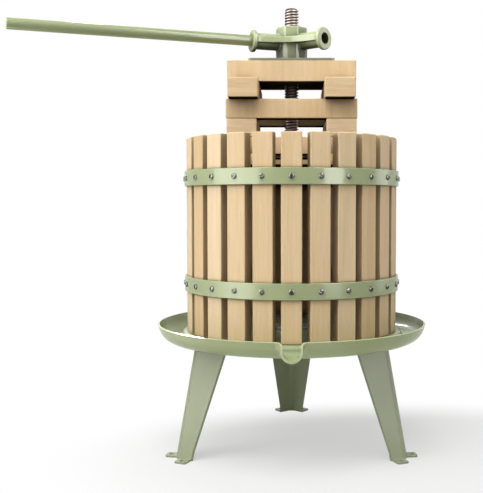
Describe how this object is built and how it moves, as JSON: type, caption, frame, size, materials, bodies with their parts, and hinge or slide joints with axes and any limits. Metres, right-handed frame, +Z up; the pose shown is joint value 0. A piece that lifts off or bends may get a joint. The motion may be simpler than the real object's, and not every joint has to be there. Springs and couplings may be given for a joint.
{
  "type": "fruit press",
  "caption": "Slatted wooden basket fruit press with a spouted steel tray on three legs, a central lead screw, stacked press blocks and a socketed press nut with a bar.",
  "frame": {"origin": "on the lead screw's axis at floor level, in the plane of the feet's undersides", "axes": "+Z up along the lead screw, -Y towards the pour spout, +X to the right of someone who faces the spout"},
  "size_m": [0.5586, 0.3982, 0.6275],
  "materials": {
    "basket_beech": "planed beech, clear satin finish",
    "block_beech": "planed beech, clear satin finish",
    "green_paint": "gloss sage green paint on pressed steel",
    "painted_casting": "gloss sage green paint on cast iron",
    "zinc_fasteners": "bright zinc plating",
    "screw_steel": "rolled steel thread"
  },
  "bodies": {
    "stand": {"tray": "green_paint", "leg_rear": "green_paint", "leg_front_left": "green_paint", "leg_front_right": "green_paint", "leg_bolts": "zinc_fasteners", "leg_nuts": "zinc_fasteners", "main_screw": "screw_steel", "screw_washer_upper": "zinc_fasteners", "screw_nut_upper": "zinc_fasteners", "screw_washer_lower": "zinc_fasteners", "screw_nut_lower": "zinc_fasteners", "stave_01": "basket_beech", "stave_02": "basket_beech", "stave_03": "basket_beech", "stave_04": "basket_beech", "stave_05": "basket_beech", "stave_06": "basket_beech", "stave_07": "basket_beech", "stave_08": "basket_beech", "stave_09": "basket_beech", "stave_10": "basket_beech", "stave_11": "basket_beech", "stave_12": "basket_beech", "stave_13": "basket_beech", "stave_14": "basket_beech", "stave_15": "basket_beech", "stave_16": "basket_beech", "stave_17": "basket_beech", "stave_18": "basket_beech", "stave_19": "basket_beech", "stave_20": "basket_beech", "stave_21": "basket_beech", "stave_22": "basket_beech", "stave_23": "basket_beech", "stave_24": "basket_beech", "stave_25": "basket_beech", "hoop_lower": "green_paint", "hoop_upper": "green_paint", "hoop_screws_lower": "zinc_fasteners", "hoop_screws_upper": "zinc_fasteners"},
    "press_stack": {"press_disc_front": "block_beech", "press_disc_rear": "block_beech", "lower_block_left": "block_beech", "lower_block_right": "block_beech", "lower_board_front": "block_beech", "lower_board_rear": "block_beech", "middle_block_left": "block_beech", "middle_block_right": "block_beech", "middle_board_front": "block_beech", "middle_board_rear": "block_beech", "upper_block_left": "block_beech", "upper_block_right": "block_beech", "top_beam": "block_beech", "pressure_plate": "green_paint"},
    "press_nut": {"press_nut": "painted_casting"},
    "handle_bar": {"handle_bar": "green_paint"}
  },
  "joints": [
    {"name": "press_travel", "type": "slide", "parent": "stand", "child": "press_stack", "axis": [0, 0, 1], "range_m": [-0.12805, 0.02405]},
    {"name": "nut_turn", "type": "hinge", "parent": "press_stack", "child": "press_nut", "pos_m": [0, 0, 0.549], "axis": [0, 0, 1], "range_deg": [-11520, 2160]},
    {"name": "bar_pull", "type": "slide", "parent": "press_nut", "child": "handle_bar", "axis": [-0.9367, -0.3502, 0], "range_m": [0, 0.035]}
  ],
  "couplings": [
    {"joint": "press_travel", "follows": "nut_turn", "m_per_rad": 0.00063662}
  ]
}
